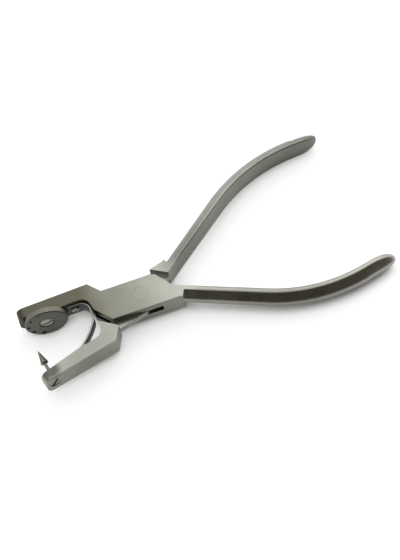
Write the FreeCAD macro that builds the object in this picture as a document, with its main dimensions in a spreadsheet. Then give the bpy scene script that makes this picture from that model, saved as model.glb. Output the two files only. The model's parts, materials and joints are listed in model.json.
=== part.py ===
import FreeCAD, Part
import math
import os
import Sketcher
from types import SimpleNamespace
from FreeCAD import Placement, Rotation, Vector

# Rubber dam punch: two box-jointed steel halves, a turning drum of graded holes, and a point that closes on
# it.
# Each half is drawn in its own half frame: the pivot at the origin, u along it with the jaw at -u and the
# handle at +u, v across it with the jaw on the +v side, and z out of the flat. The drum half turns by half of
# the opening one way. The point half is turned over about its u axis and turns by half of the opening the
# other way.

SIZES = [
    # both halves, as forged
    ("half_thick", 5.35),
    ("box_half", 7.6),
    ("opening_angle", 15.2),
    # the jaw: its seat is flat and slightly tilted, and its recess leaves room for the leaf spring
    ("jaw_reach", 56.7),
    ("jaw_tip_outer", 12.0),
    ("jaw_tip_radius", 3.3),
    ("seat_tilt", 3.1),
    ("seat_end", 32.9),
    ("seat_depth", 6.43),
    ("recess_step", 0.6),
    ("recess_depth", 6.8),
    ("drum_recess_end", 23.0),
    ("point_recess_end", 23.9),
    ("recess_radius", 4.2),
    ("shoulder_back", 20.75),
    ("shoulder_out", 13.1),
    ("notch_back", 15.8),
    ("crotch_back", 21.4),
    ("crotch_drop", 0.1),
    ("heel_back", 14.87),
    # the box joint: the drum half's cheeks and slot, and the point half's tongue and shoulders
    ("cheek_fore", 6.8),
    ("cheek_cut_fore", 9.2),
    ("cheek_cut_rise", 6.7),
    ("root_fore", 15.1),
    ("root_drop", 1.2),
    ("slot_half", 1.72),
    ("slot_play", 0.05),
    ("slot_window", 8.1),
    ("shoulder_play", 0.5),
    ("shoulder_rise", 0.3),
    ("tongue_root_back", 20.0),
    ("tongue_root_rise", 3.75),
    ("tongue_side", 1.5),
    ("tongue_fore", 9.9),
    ("tongue_shoulder", 15.85),
    ("tongue_shoulder_drop", 1.5),
    # the handle, along its flat inner side
    ("handle_start", 19.66),
    ("handle_start_drop", 3.17),
    ("handle_lean", 23.6),
    ("handle_straight", 37.25),
    ("handle_bend", 36.0),
    ("handle_bend_radius", 68.0),
    ("drum_handle_end_length", 15.7),
    ("point_handle_end_length", 12.4),
    ("handle_root_depth", 5.3),
    ("handle_depth", 5.6),
    ("handle_land", 1.9),
    ("handle_back_radius", 3.0),
    ("handle_tip_length", 11.5),
    # the pivot pin, riveted into countersinks and ground flush
    ("pin_radius", 2.6),
    ("pin_head_radius", 3.5),
    ("pin_head_height", 1.1),
    ("pin_edge", 0.04),
    ("pin_play", 0.04),
    # the drum, and how far the jaw goes on past its axis
    ("drum_jaw_past", 11.7),
    ("drum_radius", 9.8),
    ("drum_thick", 3.0),
    ("drum_edge", 0.35),
    ("drum_play", 0.1),
    ("drum_bore", 2.2),
    ("counterbore_radius", 3.4),
    ("counterbore_depth", 1.5),
    ("hole_circle_radius", 8.2),
    ("hole_pitch_angle", 36.0),
    ("hole_count", 5),
    ("hole_least_radius", 0.5),
    ("hole_growth", 0.15),
    ("groove_count", 48),
    ("groove_depth", 0.22),
    ("groove_half_width", 0.2),
    # the drum's screw
    ("drum_screw_play", 0.04),
    ("drum_screw_head_radius", 3.0),
    ("drum_screw_head_height", 1.2),
    ("drum_screw_dome", 0.35),
    ("drum_screw_stem_radius", 1.5),
    ("drum_screw_stem_length", 4.4),
    ("drum_screw_slot_half", 0.4),
    ("drum_screw_slot_depth", 0.6),
    ("drum_screw_slot_angle", 19.0),
    # the detent behind the drum
    ("detent_circle", 5.2),
    ("dimple_radius", 0.8),
    ("dimple_depth", 0.35),
    ("ball_radius", 0.8),
    ("detent_play", 0.06),
    ("detent_bore_depth", 4.4),
    ("coil_wire_radius", 0.15),
    ("coil_turns", 3),
    # the leaf spring: its root, its bends and its two widths
    ("leaf_thick", 0.85),
    ("leaf_width", 6.4),
    ("leaf_tip_width", 4.4),
    ("leaf_root_end", 31.9),
    ("leaf_root_fore", 27.05),
    ("leaf_root_radius", 4.3),
    ("leaf_root_angle", 91.0),
    ("leaf_side_length", 4.4),
    ("leaf_knee_radius", 3.5),
    ("leaf_knee_angle", 29.0),
    ("leaf_bow_radius", 36.0),
    ("leaf_bow_angle", 21.5),
    ("leaf_tip_gap", 0.25),
    # the leaf spring's screw
    ("leaf_screw_place", 28.9),
    ("leaf_screw_play", 0.1),
    ("leaf_screw_head_radius", 1.75),
    ("leaf_screw_head_height", 0.5),
    ("leaf_screw_dome", 0.5),
    ("leaf_screw_stem_radius", 1.1),
    ("leaf_screw_stem_length", 4.0),
    ("leaf_screw_slot_half", 0.25),
    ("leaf_screw_slot_depth", 0.3),
    ("leaf_screw_slot_angle", 19.0),
    # the point, and the screw that locks it in the jaw
    ("point_back", 5.8),
    ("point_reach", 5.8),
    ("point_cone_length", 7.0),
    ("point_cone_radius", 1.8),
    ("point_radius", 1.5),
    ("point_tip_radius", 0.06),
    ("point_neck_radius", 0.75),
    ("point_neck_length", 0.6),
    ("point_play", 0.05),
    ("point_flange_radius", 2.0),
    ("point_flange_height", 1.0),
    ("lock_radius", 2.8),
    ("lock_length", 1.7),
    ("lock_sunk", 0.25),
    ("lock_slot_half", 0.5),
    ("lock_slot_depth", 0.8),
    ("lock_slot_angle", 57.0),
    # how far a cut runs past the surface that it opens
    ("overrun", 2.0),
]
# the slot's two long walls run on past their ends by this share of their length
WALL_OVERRUN_SHARE = 0.2
# the sections on a handle's tip, by their angle on the ellipse that its height follows
TIP_TURNS = (0, 16, 32, 48, 64, 80)

doc = FreeCAD.newDocument("rubber_dam_punch")
sheet = doc.addObject("Spreadsheet::Sheet", "sizes")
for row, (alias, number) in enumerate(SIZES, start=1):
    sheet.set(f"A{row}", alias)
    sheet.set(f"B{row}", str(number))
    sheet.setAlias(f"B{row}", alias)
doc.recompute()


class Measure:
    """A named size, or one worked out from named sizes: its number, and the text that ties a property to
    it."""

    def __init__(self, number, text):
        self.number = number
        self.text = text

    def __neg__(self):
        return Measure(-self.number, f"(-{self.text})")

    def __add__(self, other):
        other = measure(other)
        return Measure(self.number + other.number, f"({self.text}+{other.text})")

    def __radd__(self, other):
        return measure(other) + self

    def __sub__(self, other):
        other = measure(other)
        return Measure(self.number - other.number, f"({self.text}-{other.text})")

    def __rsub__(self, other):
        return measure(other) - self

    def __mul__(self, other):
        other = measure(other)
        return Measure(self.number * other.number, f"({self.text}*{other.text})")

    def __rmul__(self, other):
        return measure(other) * self

    def __truediv__(self, other):
        other = measure(other)
        return Measure(self.number / other.number, f"({self.text}/{other.text})")


def measure(value):
    """A plain number as a measure."""
    if isinstance(value, Measure):
        return value
    return Measure(float(value), f"({value:.8f})")


def sin(angle):
    """The sine of a measure in degrees."""
    return Measure(math.sin(math.radians(angle.number)), f"sin({angle.text})")


def cos(angle):
    """The cosine of a measure in degrees."""
    return Measure(math.cos(math.radians(angle.number)), f"cos({angle.text})")


def root(square):
    """The square root of a measure."""
    return Measure(math.sqrt(square.number), f"sqrt({square.text})")


s = SimpleNamespace(
    **{alias: Measure(float(sheet.get(alias)), f"sizes.{alias}") for alias, _ in SIZES}
)


def new_body(name):
    """A body whose label is the name of its piece."""
    body = doc.addObject("PartDesign::Body", name)
    body.Label = name
    return body


def new_sketch(body, name, role, along=None, up=None, turn=None, axis=Vector(0, 0, 1)):
    """A sketch on one of its body's own planes, moved along it, off it, or turned about one of its axes."""
    sketch = body.newObject("Sketcher::SketchObject", name)
    plane = next(p for p in body.Origin.OriginFeatures if p.Role == role)
    sketch.AttachmentSupport = [(plane, "")]
    sketch.MapMode = "FlatFace"
    if turn is not None:
        sketch.AttachmentOffset = Placement(Vector(), Rotation(axis, turn.number))
        sketch.setExpression("AttachmentOffset.Rotation.Angle", turn.text)
    for part, offset in (("x", along), ("z", up)):
        if offset is not None:
            sketch.setExpression(f"AttachmentOffset.Base.{part}", offset.text)
    return sketch


def place(sketch, index, corner, x, y):
    """Tie one point of a sketch to its place."""
    for kind, distance in (("DistanceX", x), ("DistanceY", y)):
        distance = measure(distance)
        tied = Sketcher.Constraint(kind, -1, 1, index, corner, distance.number)
        number = sketch.addConstraint(tied)
        sketch.setExpression(f"Constraints[{number}]", distance.text)


def tie_radius(sketch, index, radius):
    """Tie the radius of an arc or circle."""
    number = sketch.addConstraint(Sketcher.Constraint("Radius", index, radius.number))
    sketch.setExpression(f"Constraints[{number}]", radius.text)


def outline(sketch, nodes):
    """A closed outline. A node is (x, y), or (x, y, radius, side) where an arc leads on to the next node. The arc
    bulges to the right of the way round for side 1, and to the left for side -1."""
    spots = [Vector(measure(n[0]).number, measure(n[1]).number, 0) for n in nodes]
    first = sketch.GeometryCount
    corners = []
    for i, node in enumerate(nodes):
        here, there = spots[i], spots[(i + 1) % len(nodes)]
        if len(node) == 2:
            index = sketch.addGeometry(Part.LineSegment(here, there), False)
            corners.append((1, 2))
        else:
            radius, side = node[2], node[3]
            chord = there - here
            left = Vector(-chord.y, chord.x, 0).normalize() * side
            rise = math.sqrt(max(radius.number**2 - (chord.Length / 2) ** 2, 0))
            centre = (here + there) / 2 + left * rise
            start, end = (here, there) if side > 0 else (there, here)
            turns = [math.atan2(p.y - centre.y, p.x - centre.x) for p in (start, end)]
            ring = Part.Circle(centre, Vector(0, 0, 1), radius.number)
            index = sketch.addGeometry(Part.ArcOfCircle(ring, turns[0], turns[1]), False)
            corners.append((1, 2) if side > 0 else (2, 1))
            tie_radius(sketch, index, radius)
        place(sketch, index, corners[-1][0], node[0], node[1])
    for i in range(len(nodes)):
        after = (i + 1) % len(nodes)
        joined = (first + i, corners[i][1], first + after, corners[after][0])
        sketch.addConstraint(Sketcher.Constraint("Coincident", *joined))


def circle(sketch, x, y, radius):
    """A circle, tied by its centre and radius."""
    centre = Vector(measure(x).number, measure(y).number, 0)
    ring = Part.Circle(centre, Vector(0, 0, 1), radius.number)
    index = sketch.addGeometry(ring, False)
    place(sketch, index, 3, x, y)
    tie_radius(sketch, index, radius)


def pad(body, name, nodes, thickness):
    """A plate of one outline, as thick to each side of the half's mid-plane."""
    sketch = new_sketch(body, f"{name}_outline", "XY_Plane")
    outline(sketch, nodes)
    feature = body.newObject("PartDesign::Pad", name)
    feature.Profile = sketch
    feature.Midplane = True
    feature.setExpression("Length", thickness.text)
    doc.recompute()


def must_cut(body, before, name):
    """Stop where a cut took nothing away."""
    doc.recompute()
    if body.Shape.Volume > before * (1 - 1e-7):
        raise RuntimeError(f"{name} cut nothing")


def pocket(body, name, sketch, length, midplane=False, reverse=False):
    """Cut the outlines of a sketch out of the body."""
    doc.recompute()
    before = body.Shape.Volume
    feature = body.newObject("PartDesign::Pocket", name)
    feature.Profile = sketch
    feature.Midplane = midplane
    feature.Reversed = reverse
    feature.setExpression("Length", length.text)
    must_cut(body, before, name)
    return feature


def turned(body, name, nodes, cut=False, along=None, up=None):
    """Turn an outline about the z axis, or one beside it: x is the radius, y the height. It adds or cuts."""
    sketch = new_sketch(body, f"{name}_outline", "XZ_Plane", along=along, up=up)
    outline(sketch, nodes)
    doc.recompute()
    before = body.Shape.Volume if cut else 0
    kind = "PartDesign::Groove" if cut else "PartDesign::Revolution"
    feature = body.newObject(kind, name)
    feature.Profile = sketch
    feature.ReferenceAxis = (sketch, ["V_Axis"])
    feature.Angle = 360
    doc.recompute()
    if cut:
        must_cut(body, before, name)
    return feature


def repeated(body, name, feature, sketch, count, angle):
    """Repeat a cut round the body's z axis."""
    pattern = body.newObject("PartDesign::PolarPattern", name)
    pattern.Originals = [feature]
    pattern.Axis = (sketch, ["N_Axis"])
    pattern.setExpression("Angle", angle.text)
    pattern.setExpression("Occurrences", count.text)
    body.Tip = pattern
    doc.recompute()


def fillet(body, name, radius, chosen):
    """Round the edges that a test of their two ends chooses."""
    base = body.Tip
    edges = []
    for i, edge in enumerate(base.Shape.Edges, start=1):
        ends = [v.Point for v in edge.Vertexes]
        if len(ends) == 2 and chosen(*ends):
            edges.append(f"Edge{i}")
    if not edges:
        raise RuntimeError(f"{name} found no edge")
    feature = body.newObject("PartDesign::Fillet", name)
    feature.Base = (base, edges)
    feature.setExpression("Radius", radius.text)
    doc.recompute()


def near(a, b):
    """Are two lengths the same, but for rounding?"""
    return abs(a - b) < 1e-4


def upright_at(spot):
    """A test for the edge that stands upright at a spot of the half's plan."""
    u, v = spot[0].number, spot[1].number
    return lambda a, b: near(a.x, u) and near(b.x, u) and near(a.y, v) and near(b.y, v)


SEAT_SLOPE = sin(s.seat_tilt) / cos(s.seat_tilt)


def seat_v(along):
    """How far from the half's axis the jaw's tilted seat lies, at a distance from the pivot."""
    return s.seat_depth + (along - s.seat_end) * SEAT_SLOPE


def jaw_plan(reach, recess_end):
    """The plan of a jaw of that reach: recess, seat, tip, outer side and notch."""
    return [
        (-recess_end, s.recess_depth),
        (s.recess_step - s.seat_end, s.recess_depth),
        (-s.seat_end, s.seat_depth),
        (-reach, seat_v(reach)),
        (-reach, s.jaw_tip_outer),
        (-s.shoulder_back, s.shoulder_out),
        (-s.notch_back, s.box_half),
    ]


# The flat plate ends square to the handle, on the plane of the handle's first section.
ROOT_IN = (s.handle_start, -s.handle_start_drop)
ROOT_OUT = (
    s.handle_start - s.handle_root_depth * sin(s.handle_lean),
    -s.handle_start_drop - s.handle_root_depth * cos(s.handle_lean),
)
ROOT_SIDE = (
    ROOT_OUT[0] + (ROOT_OUT[1] + s.box_half) * cos(s.handle_lean) / sin(s.handle_lean),
    -s.box_half,
)


def round_jaw(body, reach, recess_end):
    """Round the recess where the leaf spring turns, and the end of the jaw over its two flats."""
    name = body.Label
    fillet(body, f"{name}_recess", s.recess_radius, upright_at((-recess_end, s.recess_depth)))
    end = -reach.number
    fillet(
        body,
        f"{name}_tip",
        s.jaw_tip_radius,
        lambda a, b: near(a.x, end) and near(b.x, end) and near(a.z, b.z),
    )


def handle_section(body, name, u, v, heading, depth, height_share=1.0, depth_share=1.0):
    """One section of a handle: flat inside, a narrow land above and below, sloped flanks and a round back.
    Towards the tip it shrinks about the middle of its depth."""
    sketch = new_sketch(body, name, "YZ_Plane", along=v, up=u, turn=heading, axis=Vector(0, 1, 0))
    tall = s.half_thick * height_share
    inner = -depth * ((1 - depth_share) / 2)
    land = inner - s.handle_land * depth_share
    round_back = s.handle_back_radius * height_share
    # The flank runs from the land's outer edge and touches the round back.
    centre = land - (depth - s.handle_land) * depth_share + round_back
    across = land - centre
    span = across * across + tall * tall
    flank = root(span - round_back * round_back)
    touch_x = centre + (across * round_back - tall * flank) * round_back / span
    touch_y = (tall * round_back + across * flank) * round_back / span
    above = [(inner, tall), (land, tall), (touch_x, touch_y, round_back, 1)]
    below = [(touch_x, -touch_y), (land, -tall), (inner, -tall)]
    outline(sketch, above + below)
    return sketch


def loft(body, name, sections, ruled):
    """Join sections of the handle, straight from one to the next or as one smooth form."""
    feature = body.newObject("PartDesign::AdditiveLoft", name)
    feature.Profile = sections[0]
    feature.Sections = sections[1:]
    feature.Ruled = ruled
    doc.recompute()


def add_handle(body, end_length):
    """The handle: straight from its root, turned about a far centre through its bend, then straight again, and
    drawn in to a blunt tip whose height follows a quarter of an ellipse."""
    name = body.Label
    lean = -s.handle_lean
    heading = s.handle_bend - s.handle_lean
    u = s.handle_start + s.handle_straight * cos(lean)
    v = s.handle_straight * sin(lean) - s.handle_start_drop
    root_depth, full_depth = s.handle_root_depth, s.handle_depth
    root_section = handle_section(body, f"{name}_root_section", *ROOT_IN, lean, root_depth)
    bend_section = handle_section(body, f"{name}_bend_section", u, v, lean, full_depth)
    loft(body, f"{name}_grip", [root_section, bend_section], True)
    turned_section = handle_section(body, f"{name}_turned_section", u, v, lean, full_depth)
    line_ends = [Vector(s.handle_bend_radius.number, s.half_thick.number * way, 0) for way in (-1, 1)]
    centre_line = turned_section.addGeometry(Part.LineSegment(*line_ends), True)
    place(turned_section, centre_line, 1, s.handle_bend_radius, -s.half_thick)
    place(turned_section, centre_line, 2, s.handle_bend_radius, s.half_thick)
    bend = body.newObject("PartDesign::Revolution", f"{name}_bend")
    bend.Profile = turned_section
    bend.ReferenceAxis = (turned_section, ["Axis0"])
    bend.setExpression("Angle", s.handle_bend.text)
    doc.recompute()
    u = u + s.handle_bend_radius * (sin(heading) - sin(lean))
    v = v - s.handle_bend_radius * (cos(heading) - cos(lean))
    end_section = handle_section(body, f"{name}_end_section", u, v, heading, full_depth)
    along = end_length - s.handle_tip_length
    start = (u + along * cos(heading), v + along * sin(heading))
    shoulder = handle_section(body, f"{name}_shoulder_section", *start, heading, root_depth)
    loft(body, f"{name}_end", [end_section, shoulder], True)
    sections = []
    for turn in TIP_TURNS:
        share = math.sin(math.radians(turn))
        along = s.handle_tip_length * share
        spot = (start[0] + along * cos(heading), start[1] + along * sin(heading), heading)
        shares = (math.cos(math.radians(turn)), math.sqrt(1 - share**3))
        sections.append(handle_section(body, f"{name}_tip_{turn}_section", *spot, root_depth, *shares))
    loft(body, f"{name}_tip", sections, False)


def spot_frame(u, v, tilt=0.0):
    """A frame at a spot of the half's plan, with its z axis into the jaw and its x axis towards the pivot."""
    lean = math.radians(tilt)
    into = Vector(math.sin(lean), math.cos(lean), 0)
    towards = Vector(math.cos(lean), -math.sin(lean), 0)
    return Placement(Vector(u.number, v.number, 0), Rotation(towards, Vector(), into, "ZXY"))


LIFT = Vector(0, 0, s.half_thick.number)
DRUM_HALF = Placement(LIFT, Rotation(Vector(0, 0, 1), -s.opening_angle.number / 2))
TURNED_OVER = Rotation(Vector(0, 0, 1), s.opening_angle.number / 2) * Rotation(Vector(1, 0, 0), 180)
POINT_HALF = Placement(LIFT, TURNED_OVER)
LEAF_SCREW_FRAME = spot_frame(-s.leaf_screw_place, s.recess_depth)

# The point closes on the drum: its tip swings about the pivot until it meets the plane of the drum's face,
# and the drum's axis lies a hole circle's radius short of that spot. The seat, the face and the drum's axis
# are given by their distances from the pivot, square to the seat and along it.
drum_back = -s.drum_play
drum_face = drum_back - s.drum_thick
point_place = s.jaw_reach - s.point_back
swing_square = point_place * point_place + s.point_reach * s.point_reach
seat_from_pivot = s.seat_depth * cos(s.seat_tilt) - s.seat_end * sin(s.seat_tilt)
face_from_pivot = seat_from_pivot + drum_face
met_along = root(swing_square - face_from_pivot * face_from_pivot)
drum_along = met_along - s.hole_circle_radius
drum_place = drum_along * cos(s.seat_tilt) - seat_from_pivot * sin(s.seat_tilt)
drum_jaw_reach = drum_place + s.drum_jaw_past
DRUM_FRAME = spot_frame(-drum_place, seat_v(drum_place), s.seat_tilt.number)
# The point leans towards the jaw's end, so that it stands square to the drum's face where it meets it.
point_sine = (met_along * s.point_reach - face_from_pivot * point_place) / swing_square
point_cosine = (face_from_pivot * s.point_reach + met_along * point_place) / swing_square
point_lean = math.degrees(math.atan2(point_sine.number, point_cosine.number))
POINT_FRAME = spot_frame(-point_place, -s.point_reach, -point_lean)


def bore(body, name, frame, radius, start, depth):
    """Drill a blind or through hole into the jaw along a frame's z axis."""
    sketch = new_sketch(body, f"{name}_outline", "XY_Plane")
    sketch.AttachmentOffset = frame * Placement(Vector(0, 0, start), Rotation())
    circle(sketch, 0, 0, radius)
    return pocket(body, name, sketch, depth, reverse=True)


# The drum half: jaw and both cheeks as one plate, the slot for the tongue cut through it, then the handle.
drum_half = new_body("drum_half")
DRUM_CROTCH = (-s.crotch_back, -s.crotch_drop)
pad(
    drum_half,
    "drum_half_plate",
    jaw_plan(drum_jaw_reach, s.drum_recess_end)
    + [
        (s.cheek_fore, s.box_half),
        (s.cheek_cut_fore, s.cheek_cut_rise),
        (s.root_fore, -s.root_drop),
        ROOT_IN,
        ROOT_OUT,
        ROOT_SIDE,
        (-s.heel_back, -s.box_half),
        DRUM_CROTCH,
    ],
    s.half_thick * 2,
)
round_jaw(drum_half, drum_jaw_reach, s.drum_recess_end)
add_handle(drum_half, s.drum_handle_end_length)
jaw_wall = (
    (s.crotch_back - s.slot_window) * WALL_OVERRUN_SHARE,
    (s.box_half + s.crotch_drop) * WALL_OVERRUN_SHARE,
)
root_wall = (
    (s.root_fore - s.slot_window) * WALL_OVERRUN_SHARE,
    (s.box_half - s.root_drop) * WALL_OVERRUN_SHARE,
)
slot = new_sketch(drum_half, "slot_outline", "XY_Plane")
outline(
    slot,
    [
        (-s.crotch_back - jaw_wall[0], -s.crotch_drop - jaw_wall[1]),
        (-s.heel_back - s.overrun, -s.box_half - s.overrun),
        (s.slot_window - root_wall[0], -s.box_half - root_wall[1]),
        (s.root_fore + root_wall[0], root_wall[1] - s.root_drop),
        (s.cheek_cut_fore, s.box_half + s.overrun),
        (jaw_wall[0] - s.slot_window, s.box_half + jaw_wall[1]),
    ],
)
pocket(drum_half, "slot", slot, s.slot_half * 2, midplane=True)
pin_seat = [
    (0, -s.half_thick),
    (s.pin_head_radius, -s.half_thick),
    (s.pin_radius, s.pin_head_height - s.half_thick),
    (s.pin_radius, s.half_thick - s.pin_head_height),
    (s.pin_head_radius, s.half_thick),
    (0, s.half_thick),
]
turned(drum_half, "pin_seat", pin_seat, cut=True)
bore(drum_half, "drum_screw_hole", DRUM_FRAME, s.drum_screw_stem_radius, 0, s.drum_screw_stem_length)
DETENT_FRAME = DRUM_FRAME * Placement(Vector(s.detent_circle.number, 0, 0), Rotation())
bore(drum_half, "detent_bore", DETENT_FRAME, s.ball_radius + s.detent_play, 0, s.detent_bore_depth)
bore(drum_half, "leaf_screw_hole", LEAF_SCREW_FRAME, s.leaf_screw_stem_radius, 0, s.leaf_screw_stem_length)
drum_half.Placement = DRUM_HALF

# The point half: the thin tongue first, then the jaw and the root of the handle at full thickness, each with
# its shoulder clear of the cheeks, then the handle.
point_half = new_body("point_half")
POINT_CROTCH = (-s.crotch_back - s.shoulder_play, s.shoulder_rise)
TONGUE_SHOULDER = (s.tongue_shoulder, -s.tongue_shoulder_drop)
pad(
    point_half,
    "tongue",
    [
        (-s.tongue_root_back, s.tongue_root_rise),
        (s.tongue_side, -s.box_half),
        ROOT_SIDE,
        TONGUE_SHOULDER,
        (-s.tongue_side, s.box_half),
        (-s.notch_back, s.box_half),
    ],
    (s.slot_half - s.slot_play) * 2,
)
point_plan = jaw_plan(s.jaw_reach, s.point_recess_end)
pad(point_half, "point_half_jaw", point_plan + [POINT_CROTCH], s.half_thick * 2)
pad(
    point_half,
    "point_half_root",
    [(s.tongue_fore, -s.box_half), ROOT_SIDE, ROOT_OUT, ROOT_IN, TONGUE_SHOULDER],
    s.half_thick * 2,
)
round_jaw(point_half, s.jaw_reach, s.point_recess_end)
add_handle(point_half, s.point_handle_end_length)
pin_hole = new_sketch(point_half, "pin_hole_outline", "XY_Plane")
circle(pin_hole, 0, 0, s.pin_radius + s.pin_play)
pocket(point_half, "pin_hole", pin_hole, s.half_thick * 2, midplane=True)
# Along the point's axis, from its tip: the jaw's seat, its outer side, and what sits between them.
outer_slope = (s.shoulder_out - s.jaw_tip_outer) / (s.jaw_reach - s.shoulder_back)
point_seat = (s.point_reach + seat_v(point_place)) / (point_cosine - SEAT_SLOPE * point_sine)
jaw_outer = s.jaw_tip_outer + s.point_back * outer_slope
point_outer = (s.point_reach + jaw_outer) / (point_cosine + outer_slope * point_sine)
lock_top = point_outer - s.lock_sunk
lock_foot = lock_top - s.lock_length
flange_foot = lock_foot - s.point_flange_height
bore(point_half, "point_bore", POINT_FRAME, s.point_radius + s.point_play, 0, point_outer)
lock_depth = point_outer - flange_foot + s.overrun
bore(point_half, "lock_bore", POINT_FRAME, s.lock_radius, flange_foot.number, lock_depth)
point_half.Placement = POINT_HALF

# The pivot pin: riveted over into both cheeks, with a fine broken edge round each end.
pivot_pin = new_body("pivot_pin")
broken = s.pin_head_radius - s.pin_edge
turned(
    pivot_pin,
    "pin_turned",
    [
        (0, -s.half_thick),
        (broken - s.pin_edge, -s.half_thick),
        (broken, s.pin_edge - s.half_thick),
        (s.pin_radius, s.pin_head_height - s.half_thick),
        (s.pin_radius, s.half_thick - s.pin_head_height),
        (broken, s.half_thick - s.pin_edge),
        (broken - s.pin_edge, s.half_thick),
        (0, s.half_thick),
    ],
)
pivot_pin.Placement = Placement(LIFT, Rotation())

# The drum: turned, with a counterbore for its screw, graded holes, a grooved rim and dimples for the detent.
hole_drum = new_body("hole_drum")
counterbore_floor = drum_face + s.counterbore_depth
turned(
    hole_drum,
    "drum_disc",
    [
        (s.drum_bore, drum_back),
        (s.drum_bore, counterbore_floor),
        (s.counterbore_radius, counterbore_floor),
        (s.counterbore_radius, drum_face),
        (s.drum_radius - s.drum_edge, drum_face),
        (s.drum_radius, drum_face + s.drum_edge),
        (s.drum_radius, drum_back - s.drum_edge),
        (s.drum_radius - s.drum_edge, drum_back),
    ],
)
holes = new_sketch(hole_drum, "hole_outlines", "XY_Plane")
for number in range(int(s.hole_count.number)):
    angle = 180 + s.hole_pitch_angle * (number - (s.hole_count - 1) / 2)
    radius = s.hole_least_radius + s.hole_growth * (s.hole_count - 1 - number)
    circle(holes, s.hole_circle_radius * cos(angle), s.hole_circle_radius * sin(angle), radius)
pocket(hole_drum, "graded_holes", holes, s.drum_play + s.drum_thick + s.overrun)
rim_groove = new_sketch(hole_drum, "rim_groove_outline", "XY_Plane")
outline(
    rim_groove,
    [
        (s.drum_radius - s.groove_depth, 0),
        (s.drum_radius + s.groove_depth, -s.groove_half_width * 2),
        (s.drum_radius + s.groove_depth, s.groove_half_width * 2),
    ],
)
groove = pocket(hole_drum, "rim_groove", rim_groove, s.drum_play + s.drum_thick + s.overrun)
repeated(hole_drum, "rim_grooves", groove, rim_groove, s.groove_count, measure(360))
first_dimple = s.hole_pitch_angle * (s.hole_count - 1) / 2
dimple = turned(
    hole_drum,
    "detent_dimple",
    [
        (0, drum_back - s.dimple_depth),
        (s.dimple_radius * 2, drum_back + s.dimple_depth),
        (0, drum_back + s.dimple_depth),
    ],
    cut=True,
    along=s.detent_circle * cos(first_dimple),
    up=s.detent_circle * sin(first_dimple),
)
repeated(hole_drum, "detent_dimples", dimple, holes, s.hole_count, first_dimple * 2)
hole_drum.Placement = DRUM_HALF * DRUM_FRAME


def headed_screw(name, head_radius, under, head_height, dome, neck, stem_radius, stem_length, slot_cut):
    """A screw with a low domed head, its slot, and a stem that goes down into the jaw. The neck is the collar
    between head and jaw that the drum turns on, or None."""
    body = new_body(name)
    rim = under - head_height
    dome_radius = (head_radius * head_radius + dome * dome) / (2 * dome)
    collar = [(neck, under), (neck, 0), (stem_radius, 0)] if neck else [(stem_radius, under)]
    stem = [(stem_radius, stem_length), (0, stem_length)]
    nodes = [(0, rim - dome, dome_radius, 1), (head_radius, rim), (head_radius, under)]
    turned(body, f"{name}_turned", nodes + collar + stem)
    half, depth, turn = slot_cut
    sketch = new_sketch(body, f"{name}_slot_outline", "XY_Plane", up=rim - dome + depth, turn=turn)
    reach = head_radius + s.overrun
    outline(sketch, [(-reach, -half), (reach, -half), (reach, half), (-reach, half)])
    pocket(body, f"{name}_slot", sketch, depth + s.overrun)
    return body


drum_screw = headed_screw(
    "drum_screw",
    s.drum_screw_head_radius,
    counterbore_floor - s.drum_play,
    s.drum_screw_head_height,
    s.drum_screw_dome,
    s.drum_bore - s.drum_screw_play,
    s.drum_screw_stem_radius,
    s.drum_screw_stem_length,
    (s.drum_screw_slot_half, s.drum_screw_slot_depth, -s.drum_screw_slot_angle),
)
drum_screw.Placement = DRUM_HALF * DRUM_FRAME

leaf_spring_screw = headed_screw(
    "leaf_spring_screw",
    s.leaf_screw_head_radius,
    -s.leaf_thick,
    s.leaf_screw_head_height,
    s.leaf_screw_dome,
    None,
    s.leaf_screw_stem_radius,
    s.leaf_screw_stem_length,
    (s.leaf_screw_slot_half, s.leaf_screw_slot_depth, -s.leaf_screw_slot_angle),
)
leaf_spring_screw.Placement = DRUM_HALF * LEAF_SCREW_FRAME

# The detent: a ball pressed back level with the seat, as between two stations of the drum, and its coil.
detent_ball = doc.addObject("Part::Sphere", "detent_ball")
detent_ball.Label = "detent_ball"
detent_ball.setExpression("Radius", s.ball_radius.text)
doc.recompute()
detent_ball.Placement = DRUM_HALF * DETENT_FRAME * Placement(Vector(0, 0, s.ball_radius.number), Rotation())


def coil_spot(turns, radius, pitch):
    """A point on a coil's line after so many turns, and the way the line runs there."""
    angle = math.radians(360 * turns)
    out = Vector(math.cos(angle), math.sin(angle), 0)
    rise = pitch / (2 * math.pi)
    way = Vector(-radius * out.y, radius * out.x, rise).normalize()
    return out * radius + Vector(0, 0, rise * angle), way


def arc_between(start, corner, end):
    """The arc from start to end whose tangents meet in a corner as far from both."""
    middle = (start + end) / 2
    rise = corner - middle
    half_turn = math.atan2(rise.Length, (end - start).Length / 2)
    crown = middle + rise * (math.tan(half_turn / 2) / math.tan(half_turn))
    return Part.Arc(start, crown, end).toShape()


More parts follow.
